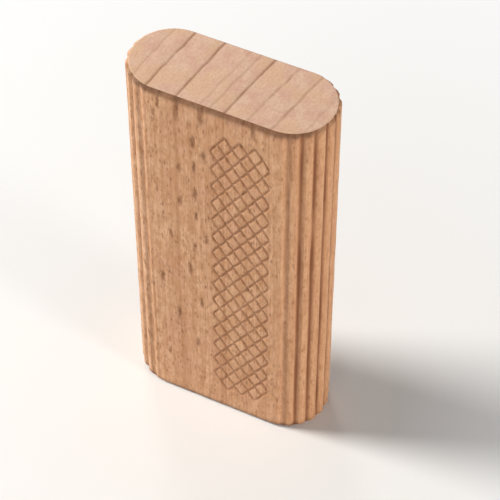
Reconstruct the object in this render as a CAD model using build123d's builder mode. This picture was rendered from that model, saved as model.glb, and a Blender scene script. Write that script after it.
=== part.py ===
"""Loose tenon: one stick of beech with half-round fluted edges, chamfered ends and pressed cheeks."""

from build123d import *
import math
import os

# The stick, in millimetres. It stands on one end: X across its width, Y through its thickness, Z along the grain.
tenon_length = 50.0
tenon_width = 24.0  # over both half-round edges
tenon_thickness = 10.0  # from cheek to cheek
end_chamfer = 0.36  # broken edge round both ends, which leads the tenon into its mortise

# The flutes moulded along each half-round edge, which let glue run down and air come up.
flutes_per_edge = 9
flute_start = 18.0  # degrees round the edge, from the cheek to the first flute
flute_width = 0.84  # across the groove's mouth
flute_depth = 0.32
outer_flute_depth = 0.22  # the flute next to each cheek is shallower
ridge_rounding = 0.16  # radius on the shoulders of each ridge

# The lozenge relief pressed into each cheek, which holds glue and swells back when wetted.
lozenge_width = 1.75  # across the grain, from crossing to crossing
lozenge_height = 2.7  # along the grain
lozenges_across = 4
line_width = 0.49  # of each pressed line at the cheek
line_depth = 0.24
panel_inset = 0.29  # from the panel to where the cheek starts to round
panel_end_gap = 3.0  # least plain length left above and below the panel

# What follows from those sizes.
edge_radius = tenon_thickness / 2
flat_reach = tenon_width / 2 - edge_radius  # half the flat width of a cheek
flute_step = (180 - 2 * flute_start) / (flutes_per_edge - 1)  # degrees from one flute to the next
ridge_land = edge_radius * math.radians(flute_step) - flute_width
shoulder_radius = min(ridge_rounding, ridge_land / 2)  # two shoulders share each ridge
panel_width = lozenges_across * lozenge_width
lozenges_along = int((tenon_length - 2 * panel_end_gap) / lozenge_height)
panel_height = lozenges_along * lozenge_height
panel_centre = flat_reach - panel_inset - panel_width / 2
line_lean = math.atan2(lozenge_width, lozenge_height)  # between a pressed line and the grain
line_pitch = lozenge_width * math.cos(line_lean)
lines_per_lean = lozenges_across + lozenges_along - 1  # those that cross the panel clear of its corners
breakout = line_depth  # how far the pressing tool stands clear of the cheek
line_flare = line_width / 2 * (1 + breakout / line_depth)  # half the tool's width out there


def cutter_radius(depth):
    """Radius of the round-nosed cutter that leaves a flute of this depth and the common mouth width."""
    return (flute_width**2 / 4 + depth**2) / (2 * depth)


# The stick's moulded outline: a half round at each edge, with its row of flutes.
with BuildSketch() as outline:
    SlotOverall(tenon_width, tenon_thickness)
    for number in range(1, flutes_per_edge + 1):
        depth = outer_flute_depth if number in (1, flutes_per_edge) else flute_depth
        nose = cutter_radius(depth)
        turn = math.radians(90 - flute_start - (number - 1) * flute_step)
        across = flat_reach + (edge_radius - depth + nose) * math.cos(turn)
        through = (edge_radius - depth + nose) * math.sin(turn)
        with Locations((across, through), (-across, through)):
            Circle(nose, mode=Mode.SUBTRACT)
    shoulders = outline.vertices().filter_by(lambda corner: abs(corner.X) > flat_reach + shoulder_radius)
    fillet(shoulders, shoulder_radius)

# The pressing tool: two families of lines that lean opposite ways and cross in lozenges.
with BuildPart() as press:
    for lean in (line_lean, -line_lean):
        along = (math.sin(lean), 0, math.cos(lean))
        across = (math.cos(lean), 0, -math.sin(lean))
        centre = (panel_centre, -tenon_thickness / 2, tenon_length / 2)
        with BuildSketch(Plane(origin=centre, x_dir=across, z_dir=along)):
            with GridLocations(line_pitch, 0, lines_per_lean, 1):
                Polygon((-line_flare, -breakout), (line_flare, -breakout), (0, line_depth), align=None)
        extrude(amount=panel_height, both=True)
    with Locations((panel_centre, -tenon_thickness / 2, tenon_length / 2)):
        Box(panel_width, 2 * max(breakout, line_depth), panel_height, mode=Mode.INTERSECT)

with BuildPart() as tenon:
    with BuildSketch():
        SlotOverall(tenon_width, tenon_thickness)
    extrude(amount=tenon_length)
    chamfer(tenon.faces().filter_by(Axis.Z).edges(), end_chamfer)
    add(outline.sketch)
    extrude(amount=tenon_length, mode=Mode.INTERSECT)
    with PolarLocations(0, 2):
        add(press.part, mode=Mode.SUBTRACT)

tenon.part.label = "tenon"
os.makedirs("parts", exist_ok=True)
export_step(tenon.part, "parts/tenon.step")
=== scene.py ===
import math

import bmesh
import bpy
import numpy as np
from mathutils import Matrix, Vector


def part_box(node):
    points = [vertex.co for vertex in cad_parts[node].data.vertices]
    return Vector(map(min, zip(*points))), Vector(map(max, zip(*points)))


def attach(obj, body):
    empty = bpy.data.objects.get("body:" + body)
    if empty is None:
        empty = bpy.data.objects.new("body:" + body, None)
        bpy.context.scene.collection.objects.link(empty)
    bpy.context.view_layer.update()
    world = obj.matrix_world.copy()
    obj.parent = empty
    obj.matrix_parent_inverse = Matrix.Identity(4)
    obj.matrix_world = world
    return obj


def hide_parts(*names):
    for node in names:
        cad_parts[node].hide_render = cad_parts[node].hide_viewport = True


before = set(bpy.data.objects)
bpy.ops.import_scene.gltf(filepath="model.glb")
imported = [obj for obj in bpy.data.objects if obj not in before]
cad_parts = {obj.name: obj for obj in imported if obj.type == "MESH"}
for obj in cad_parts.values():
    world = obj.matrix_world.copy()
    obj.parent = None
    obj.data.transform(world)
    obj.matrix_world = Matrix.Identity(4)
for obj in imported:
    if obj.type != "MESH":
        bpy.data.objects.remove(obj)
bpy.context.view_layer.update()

nodeLow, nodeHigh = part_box("tenon")
mm = 0.001
scene = bpy.context.scene
print("frame loaded:", [round(v / mm, 2) for v in nodeHigh - nodeLow], "mm")


# The tenon's form. Sizes are in mm and angles in degrees.
tenonShape = dict(
    width=24.0,  # over both edges before they are fluted
    chamfer=0.36,
    edgeSoftness=0.09,  # rounding of the chamfer's edges
    flutes=9,
    fluteStart=18.0,
    fluteWidth=0.84,
    fluteDepth=0.32,
    outerFluteDepth=0.22,
    ridgeRounding=0.22,
    lozengeWidth=1.75,
    lozengeHeight=2.7,
    lozengesAcross=4,
    lozengesAlong=16,
    lineWidth=0.49,
    lineDepth=0.24,
    lineTail=0.12,  # how far a line runs past its last crossing, in lozenges
    panelInset=0.29,
    panelEdge=0.12,  # mm over which a line ends at the panel's edge
)
# Where the mesh has its columns and rows.
meshSteps = dict(
    flatColumns=96,
    startColumns=8,  # between a cheek and its first flute
    fluteColumns=(-0.56, -0.43, -0.3, -0.15, 0, 0.15, 0.3, 0.43, 0.56),  # mm from a flute's middle
    endRows=(0, 0.04, 0.11, 0.19, 0.27, 0.35, 0.42, 0.53, 0.67, 0.83),  # mm from either end
    rowStep=0.225,
    leastGap=0.4,  # from the even rows to the close ones, in row steps
    capInsets=(0.5, 0.8, 1.3, 2.1, 3.0, 4.0),
    joined=0.004,  # points nearer than this become one
    shortest=0.002,
)
# Unevenness of the wood, each kind with its size, its cells round the outline and their height in mm.
uneven = dict(
    wander=dict(size=0.03, cells=12, height=9.0, seed=41),  # mm that a flute strays
    fluteDepth=dict(size=0.1, cells=43, height=5.0, seed=42),  # share of a flute's depth
    fibre=dict(size=0.012, cells=340, height=2.1, seed=43),  # mm, as are the next two
    fuzz=dict(size=0.006, cells=392, height=0.6, seed=44),
    swell=dict(size=0.012, cells=60, height=3.0, seed=45),
    lineDepth=dict(size=0.18, cells=40, height=2.4, seed=46),  # share of a pressed line's depth
)
# Darker ray marks that stand out on a cheek: mm from its middle, mm from the top end, length.
rayMarks = (
    (-4.05, 1.4, 3.0), (-6.3, 1.5, 1.5), (-6.9, 3.2, 1.2), (-1.25, 1.4, 2.8),
    (-2.25, 5.7, 1.8), (-2.2, 9.5, 1.7), (-2.15, 13.7, 1.7), (-2.05, 17.2, 1.5),
    (4.8, 1.0, 2.0), (-4.0, 10.3, 1.2), (-7.4, 10.4, 1.1), (-7.0, 4.3, 0.7),
    (-4.0, 15.7, 1.4), (-1.0, 7.2, 1.4), (-6.2, 19.0, 1.2), (-0.9, 20.4, 1.6),
    (-2.4, 22.6, 1.5), (-5.3, 21.5, 1.2), (-3.0, 26.4, 2.0), (-6.6, 29.5, 1.4),
    (-1.6, 31.8, 1.6), (-4.6, 35.2, 2.2), (-2.3, 39.4, 1.5), (-6.0, 43.0, 1.3),
)
rayMarkShape = dict(
    width=0.12,  # mm to either side, for a mark with no length
    widening=0.11,  # more width for each mm of length
    widthSpread=0.05,  # mm, as is the bend
    bend=0.05,
    lean=0.06,
    halfLength=0.78,  # share of a mark's length
    tips=0.6,  # share of its length that it fades over
    strength=0.92,
    strengthSpread=0.1,
    fuzz=0.16,  # how far the wood's fuzz varies the strength
    depth=0.03,  # mm that a mark is sunk
)
# Darkening near both ends, from the chamfer down: burnish where the wood was cut off, with painted shade
# that goes by where the outline faces, most on the front.
burnishAndShade = dict(
    core=dict(gone=0.84, fade=0.7, strength=0.65),  # mm from the end, mm that it fades over
    halo=dict(gone=1.2, fade=0.95, strength=0.35),
    ragged=0.25,  # mm that the fibres shift the halo's edge
    allRound=0.3,  # strength all round, to which the next three add painted shade where the outline faces that way
    front=0.7,
    back=0.2,
    left=-0.2,
    patchy=0.15,
    turned=dict(start=0.35, fade=0.6),  # how squarely a face looks forwards or back
)
grooveShade = dict(left=0.88, right=1.0)  # how dark the painted shade in the flutes of each edge is, lighter on the lit left edge
length = nodeHigh.z / mm
radius = nodeHigh.y / mm
flatReach = tenonShape["width"] / 2 - radius
halfRound = math.pi * radius
perimeter = 4 * flatReach + 2 * halfRound
firstFlute = math.radians(tenonShape["fluteStart"])
fluteStep = (math.pi - 2 * firstFlute) / (tenonShape["flutes"] - 1)


# Below, s is the arc length round the outline and z the height, both in mm.


def smoothStep(t):
    # 0 to 1 with level ends: t squared times 3 less 2t
    t = np.clip(t, 0, 1)
    return t * t * (3 - 2 * t)


def smoothMax(a, b, soft):
    # the larger of two depths, eased over soft mm where they cross
    share = np.clip(0.5 + (a - b) / (2 * soft), 0, 1)
    return b * (1 - share) + a * share + soft * share * (1 - share)


def latticeNoise(s, z, name):
    # value noise in -1..1: random numbers on a lattice of cells, eased between; it closes round the outline,
    # and its rows are far more than the tenon's height takes
    cells, rows, margin = uneven[name]["cells"], 512, 40
    table = np.random.default_rng(uneven[name]["seed"]).uniform(-1, 1, (cells, rows))
    a, b = s / (perimeter / cells), z / uneven[name]["height"] + margin
    i, j = np.floor(a).astype(int), np.floor(b).astype(int)
    along, up = smoothStep(a - i), smoothStep(b - j)
    low = table[i % cells, j % rows] * (1 - along) + table[(i + 1) % cells, j % rows] * along
    high = table[i % cells, (j + 1) % rows] * (1 - along) + table[(i + 1) % cells, (j + 1) % rows] * along
    return low * (1 - up) + high * up


def outlineStations():
    # arc lengths from the front cheek's left end: even over a cheek, close at each flute's walls
    flat = np.arange(meshSteps["flatColumns"]) / meshSteps["flatColumns"] * 2 * flatReach
    centres = radius * (firstFlute + fluteStep * np.arange(tenonShape["flutes"]))
    walls = (centres[:, None] + np.array(meshSteps["fluteColumns"])).ravel()
    lands = (centres[1:] + centres[:-1]) / 2
    start = np.linspace(0, walls[0], meshSteps["startColumns"], endpoint=False)
    end = halfRound - start[:0:-1]
    half = np.concatenate([flat, 2 * flatReach + np.sort(np.concatenate([start, walls, lands, end]))])
    return np.concatenate([half, half + perimeter / 2])


def rowHeights():
    # close rows at both ends, even ones between them, counted both ways from the middle
    ends = np.array(meshSteps["endRows"])
    step = meshSteps["rowStep"]
    count = int((length / 2 - ends[-1]) / step - meshSteps["leastGap"])
    middle = length / 2 + np.arange(-count, count + 1) * step
    return np.concatenate([ends, middle, length - ends[::-1]])


def outlinePoint(s):
    # point, outward normal, arc length in its own half and angle round the edge, at arc length s:
    # straight cheeks joined by half rounds, the second half being the first one turned by half a turn
    turned = s >= perimeter / 2
    local = np.where(turned, s - perimeter / 2, s)
    angle = np.maximum(local - 2 * flatReach, 0) / radius
    x = np.minimum(local - flatReach, flatReach) + radius * np.sin(angle)
    y = -radius * np.cos(angle)
    sign = np.where(turned, -1, 1)
    return x * sign, y * sign, np.sin(angle) * sign, -np.cos(angle) * sign, local, angle


def fluteProfile(t, depth):
    # depth of a flute at t mm from its middle: a round-nosed hollow that runs out through a convex shoulder
    nose = (tenonShape["fluteWidth"] ** 2 / 4 + depth**2) / (2 * depth)
    soft = tenonShape["ridgeRounding"]
    lift = nose - depth
    mouth = math.sqrt((nose + soft) ** 2 - (soft + lift) ** 2)
    join = mouth * nose / (nose + soft)
    t = np.abs(t)
    hollow = np.sqrt(np.maximum(nose**2 - t**2, 0)) - lift
    shoulder = soft - np.sqrt(np.maximum(soft**2 - (t - mouth) ** 2, 0))
    return np.where(t < join, hollow, np.where(t < mouth, shoulder, 0))


def fluteDepths(local, angle, wander):
    # the flutes lie one step of angle apart, and the first and last ones, beside the cheeks, are shallower
    place = (angle + wander / radius - firstFlute) / fluteStep
    number = np.clip(np.round(place), 0, tenonShape["flutes"] - 1)
    offset = radius * fluteStep * (place - number)
    outer = (number == 0) | (number == tenonShape["flutes"] - 1)
    shallow, deep = (fluteProfile(offset, tenonShape[name]) for name in ("outerFluteDepth", "fluteDepth"))
    return np.where(local > 2 * flatReach, np.where(outer, shallow, deep), 0)


def pressedDepths(local, z):
    # two families of V lines that cross in lozenges: depth falls off evenly to each side of a line,
    # and a line ends at the panel's edge or just past its last crossing
    w, h = tenonShape["lozengeWidth"], tenonShape["lozengeHeight"]
    reach, tall = tenonShape["lozengesAcross"] * w / 2, tenonShape["lozengesAlong"] * h / 2
    across = local - 2 * flatReach + tenonShape["panelInset"] + reach
    along = z - length / 2
    leans = across / w + along / h, across / w - along / h
    crossed = (tenonShape["lozengesAcross"] + tenonShape["lozengesAlong"]) / 2 - 1
    depth = np.zeros_like(z)
    for place, other in (leans, leans[::-1]):
        aside = np.abs(place - np.round(place)) * w * math.cos(math.atan2(w, h))
        line = np.clip(1 - aside / (tenonShape["lineWidth"] / 2), 0, 1)
        kept = (np.abs(np.round(place)) <= crossed) * (np.abs(other) < crossed + tenonShape["lineTail"])
        depth = np.maximum(depth, line * kept)
    inside = np.minimum(reach - np.abs(across), tall - np.abs(along))
    within = smoothStep(inside / tenonShape["panelEdge"] + 0.5) * (local < 2 * flatReach)
    return depth * tenonShape["lineDepth"] * within


def rayMarkField(s, local, z, fuzz):
    # long lenses, darkest in their middles, the longer the wider; the sines only scatter width, bend,
    # lean and strength from mark to mark; the back cheek has them upside down
    shape = rayMarkShape
    x, fromTop, long = (np.array(column)[:, None, None] for column in zip(*rayMarks))
    down = np.where(s < perimeter / 2, length - z, z) - fromTop
    width = shape["width"] + shape["widening"] * long + shape["widthSpread"] * np.sin(5.3 * x + fromTop)
    sway = shape["bend"] * np.sin(1.7 * down + 3 * x) + shape["lean"] * down * np.sin(4.1 * x)
    across = (local - flatReach - x + sway) / width
    lenses = np.clip(1 - across**2, 0, 1)
    lenses *= smoothStep((shape["halfLength"] * long - np.abs(down)) / (shape["tips"] * long))
    strength = shape["strength"] + shape["strengthSpread"] * np.sin(9.7 * x + 3.1 * fromTop)
    return (lenses * strength).max(0) * (1 - shape["fuzz"] + shape["fuzz"] * fuzz)


def burnishAndShadeField(toEnd, nx, ny, fibre, swell):
    # the core and the halo fade away from the end, and their sum is scaled by where the outline faces, which
    # paints shade mostly on the front
    core, halo, turned = burnishAndShade["core"], burnishAndShade["halo"], burnishAndShade["turned"]
    fade = core["strength"] * smoothStep((core["gone"] - toEnd) / core["fade"])
    reach = halo["gone"] + burnishAndShade["ragged"] * fibre
    fade += halo["strength"] * smoothStep((reach - toEnd) / halo["fade"])
    front, back = (smoothStep((facing * ny - turned["start"]) / turned["fade"]) for facing in (-1, 1))
    sides = burnishAndShade["allRound"] + burnishAndShade["front"] * front + burnishAndShade["back"] * back
    sides += burnishAndShade["left"] * smoothStep(-nx)
    return fade * sides * (1 - burnishAndShade["patchy"] + burnishAndShade["patchy"] * swell)


def tenonSurface():
    # sides: each outline point moves in along its normal by the depth there
    # ends: the outline again at growing insets
    stations = outlineStations()
    s, z = np.meshgrid(stations, rowHeights())
    x, y, nx, ny, local, angle = outlinePoint(s)
    grain = {name: latticeNoise(s, z, name) for name in uneven}
    size = {name: kind["size"] for name, kind in uneven.items()}
    flute = fluteDepths(local, angle, size["wander"] * grain["wander"])
    flute *= 1 + size["fluteDepth"] * grain["fluteDepth"]
    pressed = pressedDepths(local, z)
    mark = rayMarkField(s, local, z, grain["fuzz"])
    relief = sum(size[name] * (1 + grain[name]) for name in ("fibre", "fuzz", "swell"))
    relief += rayMarkShape["depth"] * mark
    worn = 1 + size["lineDepth"] * grain["lineDepth"]
    toEnd = np.minimum(z, length - z)
    sunk = flute + pressed * worn + relief
    depth = smoothMax(sunk, tenonShape["chamfer"] - toEnd, tenonShape["edgeSoftness"])
    side = np.stack([x - nx * depth, y - ny * depth, z], -1)

    insets = np.array([*meshSteps["capInsets"], radius])[:, None]
    px, py, qx, qy, _, _ = outlinePoint(stations + 0 * insets)
    below = np.stack([px - qx * insets, py - qy * insets, 0 * px], -1)
    above = below + np.array([0, 0, length])
    points = np.concatenate([below[::-1], side, above])

    def padded(values):
        # the side's values, with 0 on the ends
        grid = np.zeros(points.shape[:2])
        grid[len(insets):-len(insets)] = values
        return grid

    edge = np.sqrt(np.maximum(np.sin(angle), 0))
    shade = np.where(x < 0, grooveShade["left"], grooveShade["right"])
    fields = dict(
        moulded=padded(edge * (x > 0)),  # redder to one side of the stick
        paintedLightLeftEdge=padded(edge * (x < 0)),  # and painted light, paler, on the other edge
        # the flutes' depth, which the long grain turns into painted shade in their hollows
        hollow=padded(np.clip(flute / tenonShape["fluteDepth"], 0, 1) * shade),
        pressed=padded(pressed / tenonShape["lineDepth"]),
        rayMark=padded(mark),
        burnishAndShade=padded(burnishAndShadeField(toEnd, nx, ny, grain["fibre"], grain["swell"])),
    )
    return points, fields, len(insets)


def gridTriangles(points, fields, capRows):
    # two triangles to a cell, split between the corners pressed to the same depth, which keeps lines sharp
    levels, columns = points.shape[:2]
    index = np.arange(levels * columns).reshape(levels, columns)
    beside = np.roll(index, -1, 1)
    a, b, c, d = index[:-1], beside[:-1], beside[1:], index[1:]
    level = fields["pressed"].ravel()
    rising = (np.abs(level[a] - level[c]) <= np.abs(level[b] - level[d]))[..., None]
    first = np.where(rising, np.stack([a, b, c], -1), np.stack([a, b, d], -1))
    second = np.where(rising, np.stack([a, c, d], -1), np.stack([b, c, d], -1))
    row = np.arange(levels - 1)
    onCap = (row < capRows) | (row >= levels - 1 - capRows)
    triangles = np.concatenate([first, second], 1).reshape(-1, 3)
    return triangles, np.repeat(onCap, 2 * columns)


def buildTenon():
    points, fields, capRows = tenonSurface()
    triangles, onCap = gridTriangles(points, fields, capRows)
    mesh = bpy.data.meshes.new("beechTenon")
    mesh.from_pydata((points.reshape(-1, 3) * mm).tolist(), [], triangles.tolist())
    for name, values in fields.items():
        attribute = mesh.attributes.new(name, "FLOAT", "POINT")
        attribute.data.foreach_set("value", values.ravel().astype(np.float32))
    mesh.polygons.foreach_set("material_index", onCap.astype(np.int32))
    mesh.polygons.foreach_set("use_smooth", np.ones(len(triangles), bool))
    work = bmesh.new()
    work.from_mesh(mesh)
    # the ends' last rows meet along their middles and become one there
    bmesh.ops.remove_doubles(work, verts=work.verts, dist=meshSteps["joined"] * mm)
    bmesh.ops.dissolve_degenerate(work, edges=work.edges, dist=meshSteps["shortest"] * mm)
    work.to_mesh(mesh)
    work.free()
    piece = bpy.data.objects.new("beechTenon", mesh)
    scene.collection.objects.link(piece)
    return piece


tenon = buildTenon()
print("tenon form:", len(tenon.data.polygons), "triangles")


# Short ways to write node trees.


def fillInputs(tree, node, values):
    for name, value in values.items():
        if isinstance(value, bpy.types.NodeSocket):
            tree.links.new(value, node.inputs[name])
        else:
            node.inputs[name].default_value = value


def addNode(tree, kind, inputs, **settings):
    node = tree.nodes.new(kind)
    for name, value in settings.items():
        setattr(node, name, value)
    fillInputs(tree, node, inputs)
    return node.outputs


def placeGroup(tree, group, **values):
    return addNode(tree, "ShaderNodeGroup", values, node_tree=group)


def calculate(tree, operation, *values, clamp=False):
    return addNode(tree, "ShaderNodeMath", dict(enumerate(values)), operation=operation, use_clamp=clamp)[0]


def rescale(tree, value, low, high):
    # 0 at low and 1 at high, held level outside them
    return addNode(tree, "ShaderNodeMapRange", {"Value": value, "From Min": low, "From Max": high})["Result"]


def asColour(value):
    # a socket stays as it is, and a plain colour gets its alpha
    return value if isinstance(value, bpy.types.NodeSocket) else (*value, 1)


def mixColours(tree, factor, first, second, strength=1.0):
    # strength scales how far a full factor goes from the first colour to the second; sockets 6, 7 and 2 are
    # the Mix node's two colours and its result
    if strength != 1.0:
        factor = calculate(tree, "MULTIPLY", factor, strength)
    inputs = {0: factor, 6: asColour(first), 7: asColour(second)}
    return addNode(tree, "ShaderNodeMix", inputs, data_type="RGBA")[2]


def stretched(tree, vector, scale):
    return addNode(tree, "ShaderNodeMapping", {"Vector": vector, "Scale": scale})["Vector"]


def noise(tree, position, scale, detail=3.0, roughness=0.6):
    inputs = dict(Vector=stretched(tree, position, scale), Scale=1.0, Detail=detail, Roughness=roughness)
    return addNode(tree, "ShaderNodeTexNoise", inputs)["Fac"]


def newGroup(name, inputs, outputs):
    # an input whose value is None is a vector
    tree = bpy.data.node_groups.new(name, "ShaderNodeTree")
    for title, value in inputs.items():
        kind = "NodeSocketVector" if value is None else "NodeSocketFloat"
        socket = tree.interface.new_socket(title, in_out="INPUT", socket_type=kind)
        if value is not None:
            socket.default_value = value
    for title in outputs:
        tree.interface.new_socket(title, in_out="OUTPUT", socket_type="NodeSocketFloat")
    return tree, tree.nodes.new("NodeGroupInput").outputs, tree.nodes.new("NodeGroupOutput").inputs


# Growth rings, for both cuts of the wood. Sizes are in mm, and a noise's scale is in cells per mm.
rings = dict(
    linesAt=(-9.3, -7.2, -3.65, -0.75, 0.4, 2.05, 4.75, 7.5, 10.5),  # across the width, at mid thickness
    strength=(0.3, 0.9, 1.0, 0.25, 0.35, 0.9, 0.45, 0.5, 0.25),
    lean=0.14,  # sideways run of a line over the thickness
    spread=0.0045,  # growth of that lean across the width
    slowWander=dict(scale=(0.22, 0.3, 0.045), detail=2.0, roughness=0.5, size=0.6),
    quickWander=dict(scale=(1.1, 1.4, 0.35), detail=3.0, roughness=0.6, size=0.1),
    fade=dict(scale=(0.6, 0.45, 0.12), detail=2.0, gain=2.4, offset=-0.1),
    profiles=dict(Line=((-0.3, 0), (0, 1), (0.15, 0)), Band=((-1.5, 0), (-0.02, 1), (0.06, 0))),
    reach=13.0,  # to either side of the middle, for the ramps that hold the lines
)


def buildRingGroup():
    # Position comes in mm. Line is a thin dark mark at each ring's edge, Band darkens slowly up to it.
    # Across is the distance across the rings: x less the lean of the lines, with a slow and a quick wander.
    tree, given, out = newGroup("growthRings", {"Position": None}, ["Line", "Band", "Across"])
    apart = addNode(tree, "ShaderNodeSeparateXYZ", {"Vector": given["Position"]})
    lean = calculate(tree, "MULTIPLY_ADD", apart["X"], rings["spread"], rings["lean"])
    across = calculate(tree, "SUBTRACT", apart["X"], calculate(tree, "MULTIPLY", lean, apart["Y"]))
    for wander in (rings["slowWander"], rings["quickWander"]):
        stray = noise(tree, given["Position"], wander["scale"], wander["detail"], wander["roughness"])
        stray = calculate(tree, "MULTIPLY_ADD", stray, wander["size"], -wander["size"] / 2)
        across = calculate(tree, "ADD", across, stray)
    share = calculate(tree, "MULTIPLY_ADD", across, 0.5 / rings["reach"], 0.5, clamp=True)
    levels = {}
    for title, profile in rings["profiles"].items():
        ramp = tree.nodes.new("ShaderNodeValToRGB")
        fillInputs(tree, ramp, {"Fac": share})
        levels[title] = ramp.outputs["Color"]
        stops = ramp.color_ramp.elements
        stops[0].position, stops[1].position = 0, 1
        stops[0].color = stops[1].color = (0, 0, 0, 1)
        for place, strength in zip(rings["linesAt"], rings["strength"]):
            for offset, level in profile:
                stop = stops.new(0.5 + (place + offset) * 0.5 / rings["reach"])
                stop.color = (*(level * strength,) * 3, 1)
    fade = noise(tree, given["Position"], rings["fade"]["scale"], rings["fade"]["detail"])
    fade = calculate(tree, "MULTIPLY_ADD", fade, rings["fade"]["gain"], rings["fade"]["offset"])
    tree.links.new(calculate(tree, "MULTIPLY", levels["Line"], fade, clamp=True), out["Line"])
    tree.links.new(levels["Band"], out["Band"])
    tree.links.new(across, out["Across"])
    return tree


# How flecks differ from cell to cell: the least, and how much a cell's random number adds.
fleckSpread = dict(leastSize=0.5, moreSize=0.9, leastDark=0.25, moreDark=0.75)


def buildFleckGroup():
    # Soft marks in the cells of a Voronoi, each darkest at its middle. Only a share of the cells has one,
    # and how large and dark it is goes by the cell.
    tree, given, out = newGroup("woodFlecks", {"Position": None, "Size": 0.3, "Share": 0.5}, ["Mark"])
    cells = addNode(tree, "ShaderNodeTexVoronoi", {"Vector": given["Position"], "Scale": 1.0})
    tint = addNode(tree, "ShaderNodeSeparateColor", {"Color": cells["Color"]})
    spread = fleckSpread
    size = calculate(tree, "MULTIPLY_ADD", tint["Green"], spread["moreSize"], spread["leastSize"])
    size = calculate(tree, "MULTIPLY", given["Size"], size)
    spot = calculate(tree, "SUBTRACT", 1.0, calculate(tree, "DIVIDE", cells["Distance"], size), clamp=True)
    kept = calculate(tree, "LESS_THAN", tint["Red"], given["Share"])
    darkness = calculate(tree, "MULTIPLY_ADD", tint["Blue"], spread["moreDark"], spread["leastDark"])
    darkness = calculate(tree, "MULTIPLY", kept, darkness)
    tree.links.new(calculate(tree, "MULTIPLY", spot, darkness), out["Mark"])
    return tree


ringGroup = buildRingGroup()
fleckGroup = buildFleckGroup()


def objectMillimetres(tree):
    return stretched(tree, tree.nodes.new("ShaderNodeTexCoord").outputs["Object"], (1 / mm,) * 3)


def attributeValue(tree, name):
    return addNode(tree, "ShaderNodeAttribute", {}, attribute_name=name)["Fac"]


def flecks(tree, position, kind, share=None):
    values = dict(Position=stretched(tree, position, kind["scale"]), Size=kind["size"])
    return placeGroup(tree, fleckGroup, Share=kind["share"] if share is None else share, **values)["Mark"]


def layVeils(tree, position, colour, wood, names):
    # lays noises over a colour in turn, each tinting it where it is high, and gives them back for the bump
    seen = {}
    for name in names:
        veil = wood["veils"][name]
        seen[name] = noise(tree, position, veil["scale"], veil["detail"], veil["roughness"])
        factor = rescale(tree, seen[name], veil["low"], veil["high"])
        colour = mixColours(tree, factor, colour, wood[veil["colour"]], veil["strength"])
    return colour, seen


def newMaterial(name, roughness, specular):
    material = bpy.data.materials.new(name)
    material.use_nodes = True
    shader = material.node_tree.nodes["Principled BSDF"]
    shader.inputs["Roughness"].default_value = roughness
    shader.inputs["Specular IOR Level"].default_value = specular
    return material, material.node_tree, shader


def addBump(tree, shader, height, strength, distance):
    bump = addNode(tree, "ShaderNodeBump", dict(Strength=strength, Distance=distance * mm, Height=height))
    tree.links.new(bump["Normal"], shader.inputs["Normal"])


# Beech along the grain: cheeks, flutes and chamfers.
longGrain = dict(
    pale=(0.71, 0.425, 0.25),
    rosy=(0.66, 0.37, 0.225),
    moulded=(0.61, 0.31, 0.15),
    paintedLightLeftEdge=(0.82, 0.55, 0.36),
    tan=(0.56, 0.29, 0.14),
    streak=(0.4, 0.175, 0.073),
    fleck=(0.17, 0.054, 0.014),
    groove=(0.16, 0.045, 0.01),
    burntAndShaded=(0.1, 0.034, 0.012),
    veils=dict(
        tone=dict(
            colour="rosy", strength=1.0, low=0.38, high=0.62,
            scale=(0.33, 0.33, 0.16), detail=2.0, roughness=0.6,
        ),
        figure=dict(
            colour="tan", strength=0.9, low=0.4, high=0.66,
            scale=(1.5, 1.5, 0.7), detail=3.0, roughness=0.65,
        ),
        strand=dict(
            colour="streak", strength=0.5, low=0.48, high=0.72,
            scale=(3.0, 3.0, 0.06), detail=3.0, roughness=0.6,
        ),
        fibre=dict(
            colour="streak", strength=0.55, low=0.45, high=0.75,
            scale=(8.0, 8.0, 0.3), detail=4.0, roughness=0.65,
        ),
        speck=dict(
            colour="streak", strength=0.6, low=0.5, high=0.75,
            scale=(4.5, 4.5, 1.6), detail=3.0, roughness=0.7,
        ),
        blotch=dict(
            colour="streak", strength=0.92, low=0.54, high=0.73,
            scale=(1.5, 1.5, 0.5), detail=4.0, roughness=0.72,
        ),
    ),
    dashes=dict(scale=(1.75, 1.75, 0.6), size=0.4, share=0.16, crowded=0.45),
    # columns of grain that hold more dashes
    crowding=dict(scale=(1.0, 1.0, 0.05), detail=1.0, low=0.5, high=0.62),
    short=dict(scale=(3.1, 3.1, 1.1), size=0.4, share=0.5, strength=0.85),
    pores=dict(scale=(8.0, 8.0, 1.9), size=0.4, share=0.5, strength=0.3),
    # breaks up the ray marks
    ragged=dict(scale=(5.0, 5.0, 1.8), detail=3.0, roughness=0.7, low=0.3, high=0.48),
    tints=dict(moulded=0.6, paintedLightLeftEdge=0.45, band=0.22, line=0.5, hollow=0.95, pressed=0.38, burnishAndShade=0.9),
    paintedFluteShadePower=4.0,
    rubbedOff=0.4,  # share of the marks that the cutters rubbed off
    roughness=0.62,
    specular=0.3,
    bump=dict(strength=0.5, distance=0.06, fibre=0.5, speck=0.4, dashes=0.5, short=0.3),
)


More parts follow.
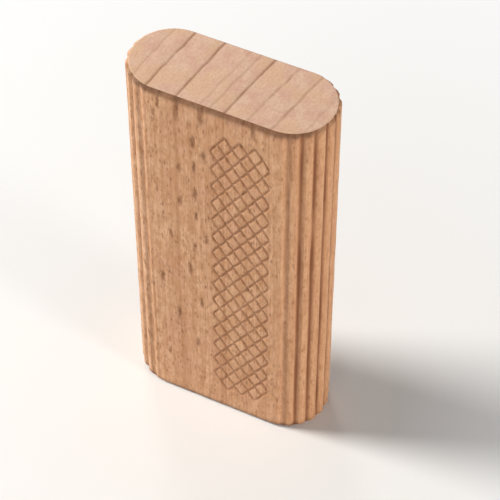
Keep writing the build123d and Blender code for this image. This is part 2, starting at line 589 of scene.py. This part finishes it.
def buildLongGrain():
    wood, tints = longGrain, longGrain["tints"]
    material, tree, shader = newMaterial("beechLongGrain", wood["roughness"], wood["specular"])
    position = objectMillimetres(tree)
    ring = placeGroup(tree, ringGroup, Position=position)

    colour, _ = layVeils(tree, position, wood["pale"], wood, ["tone"])
    moulded = attributeValue(tree, "moulded")
    colour = mixColours(tree, moulded, colour, wood["moulded"], tints["moulded"])
    # painted light: the left edge paler
    colour = mixColours(tree, attributeValue(tree, "paintedLightLeftEdge"), colour, wood["paintedLightLeftEdge"], tints["paintedLightLeftEdge"])
    colour, seen = layVeils(tree, position, colour, wood, ["figure", "strand", "fibre", "speck", "blotch"])
    colour = mixColours(tree, ring["Band"], colour, wood["streak"], tints["band"])
    colour = mixColours(tree, ring["Line"], colour, wood["streak"], tints["line"])

    apart = addNode(tree, "ShaderNodeSeparateXYZ", {"Vector": position})
    column = addNode(tree, "ShaderNodeCombineXYZ", {"X": ring["Across"], "Z": apart["Z"]})["Vector"]
    crowding, dashKind = wood["crowding"], wood["dashes"]
    crowded = noise(tree, column, crowding["scale"], crowding["detail"])
    crowded = rescale(tree, crowded, crowding["low"], crowding["high"])
    share = calculate(tree, "MULTIPLY_ADD", crowded, dashKind["crowded"], dashKind["share"])
    dashes = flecks(tree, position, dashKind, share)
    short = flecks(tree, position, wood["short"])
    pores = flecks(tree, position, wood["pores"])
    plain = calculate(tree, "MULTIPLY_ADD", moulded, -wood["rubbedOff"], 1.0)
    colour = mixColours(tree, calculate(tree, "MULTIPLY", dashes, plain), colour, wood["fleck"])
    shortMarks = calculate(tree, "MULTIPLY", short, plain)
    colour = mixColours(tree, shortMarks, colour, wood["fleck"], wood["short"]["strength"])
    colour = mixColours(tree, pores, colour, wood["fleck"], wood["pores"]["strength"])

    kind = wood["ragged"]
    ragged = noise(tree, position, kind["scale"], kind["detail"], kind["roughness"])
    ragged = rescale(tree, ragged, kind["low"], kind["high"])
    mark = calculate(tree, "MULTIPLY", attributeValue(tree, "rayMark"), ragged)
    colour = mixColours(tree, mark, colour, wood["fleck"])
    # painted shade: the flutes' hollows darkened, most at their bottoms
    hollow = calculate(tree, "POWER", attributeValue(tree, "hollow"), wood["paintedFluteShadePower"])
    colour = mixColours(tree, hollow, colour, wood["groove"], tints["hollow"])
    # painted shade: the pressed lines darkened
    colour = mixColours(tree, attributeValue(tree, "pressed"), colour, wood["streak"], tints["pressed"])
    # burnish, with painted shade mostly on the front
    colour = mixColours(tree, attributeValue(tree, "burnishAndShade"), colour, wood["burntAndShaded"], tints["burnishAndShade"])
    tree.links.new(colour, shader.inputs["Base Color"])

    bump = wood["bump"]
    height = calculate(tree, "MULTIPLY", seen["speck"], bump["speck"])
    height = calculate(tree, "MULTIPLY_ADD", seen["fibre"], bump["fibre"], height)
    height = calculate(tree, "SUBTRACT", height, calculate(tree, "MULTIPLY", dashes, bump["dashes"]))
    height = calculate(tree, "SUBTRACT", height, calculate(tree, "MULTIPLY", short, bump["short"]))
    addBump(tree, shader, height, bump["strength"], bump["distance"])
    return material


# Beech across the grain: the two ends.
endGrain = dict(
    pale=(0.79, 0.53, 0.385),
    rosy=(0.71, 0.425, 0.315),
    honey=(0.76, 0.49, 0.3),
    shade=(0.52, 0.285, 0.18),
    line=(0.27, 0.115, 0.052),
    veils=dict(
        cloud=dict(
            colour="rosy", strength=1.0, low=0.4, high=0.62,
            scale=(0.75, 0.6, 0.5), detail=4.0, roughness=0.65,
        ),
        warmth=dict(
            colour="honey", strength=0.7, low=0.48, high=0.62,
            scale=(0.3, 0.22, 0.3), detail=2.0, roughness=0.5,
        ),
        rays=dict(
            colour="shade", strength=0.3, low=0.45, high=0.75,
            scale=(7.0, 0.6, 1.0), detail=3.0, roughness=0.6,
        ),
        grit=dict(
            colour="shade", strength=0.56, low=0.46, high=0.72,
            scale=(3.2, 3.2, 1.0), detail=4.0, roughness=0.75,
        ),
    ),
    pores=dict(scale=(9.0, 9.0, 0.2), size=0.42, share=0.6),
    tints=dict(band=0.14, pores=0.16, line=0.8),
    roughness=0.55,
    specular=0.32,
    bump=dict(strength=0.2, distance=0.04, grit=0.6, pores=0.5),
)


def buildEndGrain():
    wood, tints, bump = endGrain, endGrain["tints"], endGrain["bump"]
    material, tree, shader = newMaterial("beechEndGrain", wood["roughness"], wood["specular"])
    position = objectMillimetres(tree)
    ring = placeGroup(tree, ringGroup, Position=position)
    pores = flecks(tree, position, wood["pores"])
    colour, seen = layVeils(tree, position, wood["pale"], wood, wood["veils"])
    colour = mixColours(tree, ring["Band"], colour, wood["line"], tints["band"])
    colour = mixColours(tree, pores, colour, wood["line"], tints["pores"])
    colour = mixColours(tree, ring["Line"], colour, wood["line"], tints["line"])
    tree.links.new(colour, shader.inputs["Base Color"])
    height = calculate(tree, "MULTIPLY", seen["grit"], bump["grit"])
    height = calculate(tree, "SUBTRACT", height, calculate(tree, "MULTIPLY", pores, bump["pores"]))
    addBump(tree, shader, height, bump["strength"], bump["distance"])
    return material


tenon.data.materials.append(buildLongGrain())
tenon.data.materials.append(buildEndGrain())
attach(tenon, "root")
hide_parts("tenon")
print("wood: long grain and end grain")


# Floor and sky, in metres. Both turn to plain white away from the tenon, for what the camera sees alone.
floorSet = dict(
    size=3.0,
    colour=(0.9, 0.892, 0.875),
    roughness=0.8,
    specular=0.2,
    clearFrom=0.02,
    clearTo=0.11,
)
skyStrength = 0.17


def seenDirectly(tree):
    # 1 for what the camera sees itself, in a mirror or through glass, 0 for the light that things get
    ray = tree.nodes.new("ShaderNodeLightPath").outputs
    seen = calculate(tree, "MAXIMUM", ray["Is Camera Ray"], ray["Is Glossy Ray"])
    return calculate(tree, "MAXIMUM", seen, ray["Is Transmission Ray"])


def buildFloor():
    half = floorSet["size"] / 2
    mesh = bpy.data.meshes.new("floor")
    corners = [(-half, -half, 0), (half, -half, 0), (half, half, 0), (-half, half, 0)]
    mesh.from_pydata(corners, [], [(0, 1, 2, 3)])
    floor = bpy.data.objects.new("floor", mesh)
    scene.collection.objects.link(floor)
    material, tree, shader = newMaterial("paleFloor", floorSet["roughness"], floorSet["specular"])
    shader.inputs["Base Color"].default_value = (*floorSet["colour"], 1)
    place = tree.nodes.new("ShaderNodeTexCoord").outputs["Object"]
    away = addNode(tree, "ShaderNodeVectorMath", {0: place}, operation="LENGTH")["Value"]
    clear = rescale(tree, away, floorSet["clearFrom"], floorSet["clearTo"])
    clear = calculate(tree, "MULTIPLY", clear, seenDirectly(tree))
    white = tree.nodes.new("ShaderNodeEmission").outputs["Emission"]
    blend = addNode(tree, "ShaderNodeMixShader", {0: clear, 1: shader.outputs["BSDF"], 2: white})["Shader"]
    tree.links.new(blend, tree.nodes["Material Output"].inputs["Surface"])
    mesh.materials.append(material)


def buildSky():
    world = bpy.data.worlds.new("studio")
    scene.world = world
    world.use_nodes = True
    tree = world.node_tree
    sky = tree.nodes["Background"]
    sky.inputs["Color"].default_value = (1, 1, 1, 1)
    tree.links.new(calculate(tree, "MAXIMUM", seenDirectly(tree), skyStrength), sky.inputs["Strength"])


buildFloor()
buildSky()
print("floor and backdrop")


# Lamps: places and sizes in metres, powers in watts.
lamps = dict(
    key=dict(place=(-0.53, -0.12, 0.42), size=0.2, power=5.1, colour=(1, 0.985, 0.96)),
    fill=dict(place=(0.05, -0.62, 0.1), size=0.25, power=0.55, colour=(1, 0.985, 0.97)),
    kicker=dict(place=(0.6, -0.12, 0.1), size=0.14, power=2.25, colour=(1, 0.98, 0.95)),
    rear=dict(place=(-0.4, 0.5, 0.15), size=0.2, power=1.25, colour=(1, 0.985, 0.97)),
)
middle = Vector((0, 0, nodeHigh.z / 2))
for name, values in lamps.items():
    light = bpy.data.lights.new(name, "AREA")
    light.shape = "DISK"
    light.size = values["size"]
    light.energy = values["power"]
    light.color = values["colour"]
    lamp = bpy.data.objects.new(name, light)
    lamp.location = values["place"]
    lamp.rotation_euler = (middle - lamp.location).to_track_quat("-Z", "Y").to_euler()
    scene.collection.objects.link(lamp)
print("lamps:", ", ".join(lamps))


# Camera: place, aim, nearest visible distance and focal length, all in mm.
view = dict(place=(70.35, -139.57, 205.29), aim=(2.0, 0, 24.0), nearest=10.0, lens=152.9)
cameraData = bpy.data.cameras.new("camera")
cameraData.lens = view["lens"]
cameraData.clip_start = view["nearest"] * mm
camera = bpy.data.objects.new("camera", cameraData)
camera.location = Vector(view["place"]) * mm
camera.rotation_euler = (Vector(view["aim"]) * mm - camera.location).to_track_quat("-Z", "Y").to_euler()
scene.collection.objects.link(camera)
scene.camera = camera
scene.view_settings.view_transform = "Standard"
print("camera set")
